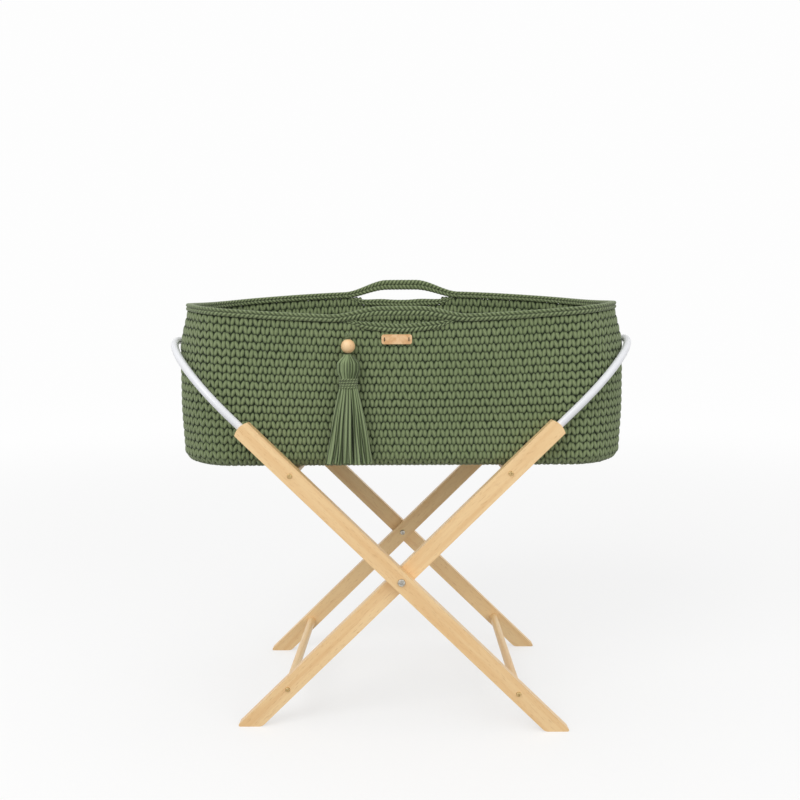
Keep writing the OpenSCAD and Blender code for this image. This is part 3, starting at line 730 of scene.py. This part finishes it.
def mattress_pad():
    """The loose pad: a slab that swells in a cloth simulation, then gets its piping."""
    low, high = (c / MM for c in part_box("mattress"))
    inset = KNIT + 5.5 + 4.0
    p, out = at(np.linspace(0, PERIMETER, 240, endpoint=False))
    flat = p - out * inset
    rings = [(0.15, low.z + 4), (0.6, low.z + 4), (0.97, low.z + 4), (1.0, low.z + 9),
             (1.0, high.z - 9), (0.97, high.z - 4), (0.6, high.z - 4), (0.15, high.z - 4)]
    verts = [np.concatenate([flat * share, np.full((240, 1), z)], 1) for share, z in rings]
    pad = make_piece("mattress_pad", "mattress", cover, np.concatenate(verts),
                     grid_quads(len(rings), 240, False, True), replaces=("mattress",))
    work = bmesh.new()
    work.from_mesh(pad.data)
    bmesh.ops.holes_fill(work, edges=[e for e in work.edges if e.is_boundary])
    bmesh.ops.recalc_face_normals(work, faces=work.faces)
    work.to_mesh(pad.data)
    work.free()
    remesh = pad.modifiers.new("remesh", "REMESH")
    remesh.mode, remesh.voxel_size = "VOXEL", 0.007
    bpy.context.view_layer.update()
    apply_modifiers(pad)
    swell_cloth(pad, 0.0042)
    pad.data.shade_smooth()
    smoothing = pad.modifiers.new("soften", "SMOOTH")
    smoothing.factor, smoothing.iterations = 0.5, 3
    apply_modifiers(pad)
    bvh = BVHTree.FromObject(pad, bpy.context.evaluated_depsgraph_get())
    stock = Stock()
    for z in (low.z + 6, high.z - 6):
        line = []
        for q in np.concatenate([p - out * inset, np.full((240, 1), z)], 1):
            line.append(bvh.find_nearest(Vector(q * MM))[0] / MM)
        line = np.array(line)
        line = (np.roll(line, 1, axis=0) + line + np.roll(line, -1, axis=0)) / 3
        out3 = np.concatenate([out, np.zeros((240, 1))], 1)
        rope(stock, line, 1.7, 1.7, 3.0, out3, np.tile([0.0, 0.0, 1.0], (240, 1)), groove=0.0, closed=True)
    stock.piece("mattress_piping", "mattress", cover, "mattress_cover")


def apply_modifiers(piece):
    """Writes a piece's evaluated mesh back into it, with no modifier left."""
    graph = bpy.context.evaluated_depsgraph_get()
    mesh = bpy.data.meshes.new_from_object(piece.evaluated_get(graph), depsgraph=graph)
    piece.modifiers.clear()
    piece.data = mesh
    if not mesh.materials:
        mesh.materials.append(cover)


def swell_cloth(piece, cap):
    """Inflates a piece as cloth under pressure, moving no point further than cap."""
    before = np.array([v.co for v in piece.data.vertices])
    cloth = piece.modifiers.new("cloth", "CLOTH")
    cloth.settings.use_pressure = True
    cloth.settings.uniform_pressure_force = 4.0
    cloth.settings.effector_weights.gravity = 0.0
    scene = bpy.context.scene
    for step in range(1, 21):
        scene.frame_set(step)
    apply_modifiers(piece)
    scene.frame_set(1)
    after = np.array([v.co for v in piece.data.vertices])
    move = after - before
    size = np.linalg.norm(move, axis=1, keepdims=True)
    after = before + move * np.minimum(1, cap / np.maximum(size, 1e-9))
    piece.data.vertices.foreach_set("co", after.ravel())


mattress_pad()

# ------------------------------------------------------------------ tassel
tassel_low, tassel_high = (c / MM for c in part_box("tassel_skirt"))
TASSEL_X, HANG_Y = ((tassel_low[i] + tassel_high[i]) / 2 for i in (0, 1))
bead_low, bead_high = (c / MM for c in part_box("wooden_bead"))
head_low, head_high = (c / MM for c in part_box("tassel_head"))
bind_low, bind_high = (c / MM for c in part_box("tassel_binding"))
anchor_low, anchor_high = (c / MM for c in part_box("tassel_anchor"))
TASSEL_CENTRE = np.array([TASSEL_X, HANG_Y, 0.0])


def tassel_head():
    """Strands folded over the hanging cord and drawn together by the binding."""
    stock = Stock()
    half_w, half_d = (head_high.x - head_low.x) / 2 - 2.2, (head_high.y - head_low.y) / 2 - 1.8
    height = head_high.z - head_low.z
    t = np.linspace(0, 1, 30)
    width = 0.3 + 0.7 * smooth(t / 0.42) - 0.26 * smooth((t - 0.62) / 0.38)
    for number, share in ((22, 1.0), (12, 0.6)):
        for k in range(number):
            angle = 2 * math.pi * (k + 0.5 * (share < 1)) / number + rng.normal(0, 0.04)
            spread = width * share
            line = np.stack([TASSEL_X + half_w * spread * math.cos(angle),
                             HANG_Y + half_d * spread * math.sin(angle),
                             head_high.z - 2.0 - (height - 2.0) * t], 1)
            rope(stock, line, 2.5, 2.5, 400.0, groove=0.05, facets=10, phase=rng.uniform(0, 3))
    stock.piece("tassel_head_strands", "tassel", green_tassel, "crochet_yarn", ("tassel_head",))


def tassel_binding():
    """Four wraps of the same yarn."""
    stock = Stock()
    wraps = 4
    radius = (bind_high.z - bind_low.z) / wraps / 2
    angle = np.linspace(0, 2 * math.pi, 72, endpoint=False)
    half_w, half_d = (bind_high.x - bind_low.x) / 2, (bind_high.y - bind_low.y) / 2
    for wrap in range(wraps):
        z = bind_low.z + radius * (2 * wrap + 1)
        line = np.stack([TASSEL_X + (half_w - 1.6) * np.cos(angle), HANG_Y + (half_d - 1.6) * np.sin(angle),
                         z + 0.5 * np.sin(angle + wrap)], 1)
        out3 = np.stack([np.cos(angle), np.sin(angle), 0 * angle], 1)
        rope(stock, line, 2.2, radius * 1.08, 9.0, out3, np.tile([0.0, 0.0, 1.0], (72, 1)), closed=True,
             groove=0.2, phase=wrap)
    stock.piece("tassel_binding_wraps", "tassel", green_rope, "crochet_yarn", ("tassel_binding",))


def tassel_skirt():
    """The free strands: they leave the binding side by side and spread to their cut ends."""
    stock = Stock()
    top, end = tassel_high.z + 6.0, tassel_low.z
    half_w, half_d = (tassel_high.x - tassel_low.x) / 2 - 3.0, (tassel_high.y - tassel_low.y) / 2 - 2.6
    top_w = (bind_high.x - bind_low.x) / 2 - 3.6
    t = np.linspace(0, 1, 34)
    for number, share in ((22, 1.0), (12, 0.55), (5, 0.2)):
        for k in range(number):
            angle = 2 * math.pi * (k + rng.uniform(-0.2, 0.2)) / number
            length = (top - end) * (1 - abs(rng.normal(0, 0.012)))
            wide = share * (top_w + (half_w - top_w) * t ** 0.85)
            deep = share * half_d * (0.82 + 0.18 * t)
            wave = rng.uniform(0.3, 1.0) * np.sin(t * rng.uniform(5, 9) + rng.uniform(0, 6)) * t
            line = np.stack([TASSEL_X + wide * math.cos(angle) + wave,
                             HANG_Y + deep * math.sin(angle) + 0.4 * wave * share,
                             top - length * t], 1)
            rope(stock, line, 2.2 + 0.7 * t, 2.2 + 0.7 * t, 400.0, groove=0.05, facets=10,
                 phase=rng.uniform(0, 3))
    stock.piece("tassel_skirt_strands", "tassel", green_tassel, "crochet_yarn", ("tassel_skirt",))


def round_y(angle):
    """Directions around the Y axis."""
    return np.stack([np.cos(angle), 0 * angle, np.sin(angle)], 1)


def tassel_cord():
    """The loop around the anchor, the cord down through the bead, and the anchor's knot."""
    stock = Stock()
    anchor_z = (anchor_low.z + anchor_high.z) / 2
    loop_low, loop_high = (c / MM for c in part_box("tassel_loop"))
    radius = 1.8
    ring = loop_high.z - anchor_z - radius
    angle = np.linspace(0, 2 * math.pi, 40, endpoint=False)
    line = np.stack([TASSEL_X + ring * np.cos(angle), HANG_Y + 0 * angle, anchor_z + ring * np.sin(angle)], 1)
    rope(stock, line, radius, radius, 5.0, closed=True, side=round_y(angle),
         up=np.tile([0.0, 1.0, 0.0], (40, 1)), groove=0.16)
    z = np.linspace(anchor_z - ring, loop_low.z + 0.5, 40)
    line = np.stack([np.full(40, TASSEL_X), np.full(40, HANG_Y), z], 1)
    rope(stock, line, radius, radius, 5.0, groove=0.16)
    stock.piece("tassel_hanging_cord", "tassel", green_rope, "crochet_yarn", ("tassel_loop",))
    stock = Stock()
    y = np.linspace(anchor_high.y + 2, anchor_low.y + 2.2, 24)
    line = np.stack([np.full(24, TASSEL_X), y, np.full(24, anchor_z)], 1)
    rope(stock, line, 1.95, 1.95, 5.0, groove=0.12)
    angle = np.linspace(0, 2 * math.pi, 24, endpoint=False)
    for y in (anchor_low.y + 0.9, anchor_low.y + 2.3):
        line = np.stack([TASSEL_X + 1.9 * np.cos(angle), y + 0 * angle, anchor_z + 1.9 * np.sin(angle)], 1)
        rope(stock, line, 1.3, 1.0, 4.0, closed=True, side=round_y(angle),
             up=np.tile([0.0, 1.0, 0.0], (24, 1)), groove=0.15)
    stock.piece("tassel_anchor_knot", "basket", green_rope, "crochet_yarn", ("tassel_anchor",))


def turned_bead():
    """The wooden bead, turned with softened edges where its bore comes out."""
    centre = (bead_low + bead_high) / 2
    radius, bore = (bead_high.x - bead_low.x) / 2, 2.15
    start = math.asin((bore + 0.8) / radius)
    angle = np.linspace(start, math.pi - start, 26)
    outer = np.stack([radius * np.sin(angle), radius * np.cos(angle)], 1)
    top = outer[0][1]
    mouth = np.array([[bore, top - 1.6], [bore + 0.15, top - 0.5], [bore + 0.4, top - 0.05]])
    profile_line = np.concatenate([mouth, outer, mouth[::-1] * (1, -1)])
    turn = np.linspace(0, 2 * math.pi, 56, endpoint=False)
    verts = np.stack([centre.x + profile_line[:, :1] * np.cos(turn),
                      centre.y + profile_line[:, :1] * np.sin(turn),
                      centre.z + profile_line[:, 1:] + 0 * turn], -1)
    make_piece("bead_turned", "tassel", bead_wood, verts.reshape(-1, 3),
               grid_quads(len(profile_line), 56, True, True), replaces=("wooden_bead",))


tassel_head()
tassel_binding()
tassel_skirt()
tassel_cord()
turned_bead()

# --------------------------------------------------------------------- tag
refined("leather_tag", tan_leather, bevel=0.5, angle=50)


def tag_thread():
    """A staple of thread at each end of the tag, sunk in its two holes."""
    low, high = (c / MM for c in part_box("tag_stitches"))
    stock = Stock()
    for x in (low.x + 0.8, high.x - 0.8):
        z = (low.z + high.z) / 2
        t = np.linspace(-1, 1, 22)
        line = np.stack([np.full(22, x), low.y + 0.8 + 3.6 * np.abs(t) ** 5,
                         z + 2.6 * np.sign(t) * np.abs(t) ** 0.7], 1)
        rope(stock, line, 0.75, 0.75, 2.2, groove=0.2)
    stock.piece("tag_thread", "basket", dark_thread, "thread", ("tag_stitches",))


tag_thread()

# ------------------------------------------------------------------- stand
for node, material in (("outer_front_leg", beech_left), ("outer_rear_leg", beech_left),
                       ("inner_front_leg", beech_right), ("inner_rear_leg", beech_right)):
    refined(node, material, bevel=1.2, angle=50)
for node in ("upper_left_dowel", "lower_right_dowel", "upper_right_dowel", "lower_left_dowel"):
    refined(node, beech_dowel)
for node in ("left_bow", "right_bow"):
    refined(node, white_coat)
for node in ("outer_frame_screws", "inner_frame_screws"):
    refined(node, brass, bevel=0.18, angle=50)
for node in ("front_pivot_bolt", "front_pivot_nut", "rear_pivot_bolt", "rear_pivot_nut", "pivot_washers"):
    refined(node, nickel, bevel=0.18, angle=50)
refined("base_board", board_fibre, bevel=0.8, angle=50)

# -------------------------------------------------------- floor and lights
BACKGROUND = 0.985
AMBIENT = 0.76
FLOOR_SHADE = 0.4
LAMPS_ON_FLOOR = 0.25


def seen_directly(nodes):
    """1 for rays that show the background: from the camera, or by a reflection or glass."""
    path = nodes.new("ShaderNodeLightPath")
    last = path.outputs["Is Camera Ray"]
    links = nodes.id_data.links
    for name in ("Is Glossy Ray", "Is Transmission Ray"):
        most = nodes.new("ShaderNodeMath")
        most.operation = "MAXIMUM"
        links.new(last, most.inputs[0])
        links.new(path.outputs[name], most.inputs[1])
        last = most.outputs[0]
    return last


def add_floor():
    """A wide pale floor.  It takes the object's shadow, and its own glow hides the horizon."""
    material = bpy.data.materials.new("floor")
    material.use_nodes = True
    tree = material.node_tree
    tree.nodes.clear()
    diffuse = tree.nodes.new("ShaderNodeBsdfDiffuse")
    diffuse.inputs["Color"].default_value = (FLOOR_SHADE, FLOOR_SHADE, FLOOR_SHADE, 1)
    glow = tree.nodes.new("ShaderNodeEmission")
    place = tree.nodes.new("ShaderNodeTexCoord")
    away = tree.nodes.new("ShaderNodeVectorMath")
    away.operation = "LENGTH"
    spread = tree.nodes.new("ShaderNodeMapRange")
    spread.interpolation_type = "SMOOTHERSTEP"
    spread.inputs["From Max"].default_value = 6.0
    spread.inputs["To Min"].default_value = BACKGROUND - FLOOR_SHADE * (AMBIENT + LAMPS_ON_FLOOR)
    spread.inputs["To Max"].default_value = BACKGROUND - FLOOR_SHADE * AMBIENT
    strength = tree.nodes.new("ShaderNodeMath")
    strength.operation = "MULTIPLY"
    tree.links.new(place.outputs["Object"], away.inputs[0])
    tree.links.new(away.outputs["Value"], spread.inputs["Value"])
    tree.links.new(seen_directly(tree.nodes), strength.inputs[0])
    tree.links.new(spread.outputs["Result"], strength.inputs[1])
    tree.links.new(strength.outputs[0], glow.inputs["Strength"])
    both = tree.nodes.new("ShaderNodeAddShader")
    tree.links.new(diffuse.outputs[0], both.inputs[0])
    tree.links.new(glow.outputs[0], both.inputs[1])
    output = tree.nodes.new("ShaderNodeOutputMaterial")
    tree.links.new(both.outputs[0], output.inputs["Surface"])
    mesh = bpy.data.meshes.new("floor")
    far = 60.0
    mesh.from_pydata([(-far, -far, 0), (far, -far, 0), (far, far, 0), (-far, far, 0)], [], [(0, 1, 2, 3)])
    mesh.materials.append(material)
    floor = bpy.data.objects.new("floor", mesh)
    bpy.context.scene.collection.objects.link(floor)


def add_world():
    """Even white light all round, and a white background where it is seen directly."""
    world = bpy.data.worlds.new("studio")
    bpy.context.scene.world = world
    world.use_nodes = True
    tree = world.node_tree
    background = tree.nodes["Background"]
    background.inputs["Color"].default_value = (1.0, 1.0, 1.0, 1.0)
    strength = tree.nodes.new("ShaderNodeMapRange")
    strength.inputs["To Min"].default_value = AMBIENT
    strength.inputs["To Max"].default_value = BACKGROUND
    tree.links.new(seen_directly(tree.nodes), strength.inputs["Value"])
    tree.links.new(strength.outputs["Result"], background.inputs["Strength"])


def add_lamp(name, place, aim, size, power):
    data = bpy.data.lights.new(name, "AREA")
    data.shape, data.size, data.energy = "DISK", size, power
    lamp = bpy.data.objects.new(name, data)
    bpy.context.scene.collection.objects.link(lamp)
    lamp.location = place
    lamp.rotation_euler = (Vector(aim) - Vector(place)).to_track_quat("-Z", "Y").to_euler()


add_floor()
add_world()
add_lamp("key", (-1.6, -2.4, 2.6), (0, 0, 0.5), 2.2, 42)
add_lamp("fill", (2.2, -2.2, 1.5), (0, 0, 0.4), 2.2, 17)
bpy.context.scene.view_settings.view_transform = "Standard"
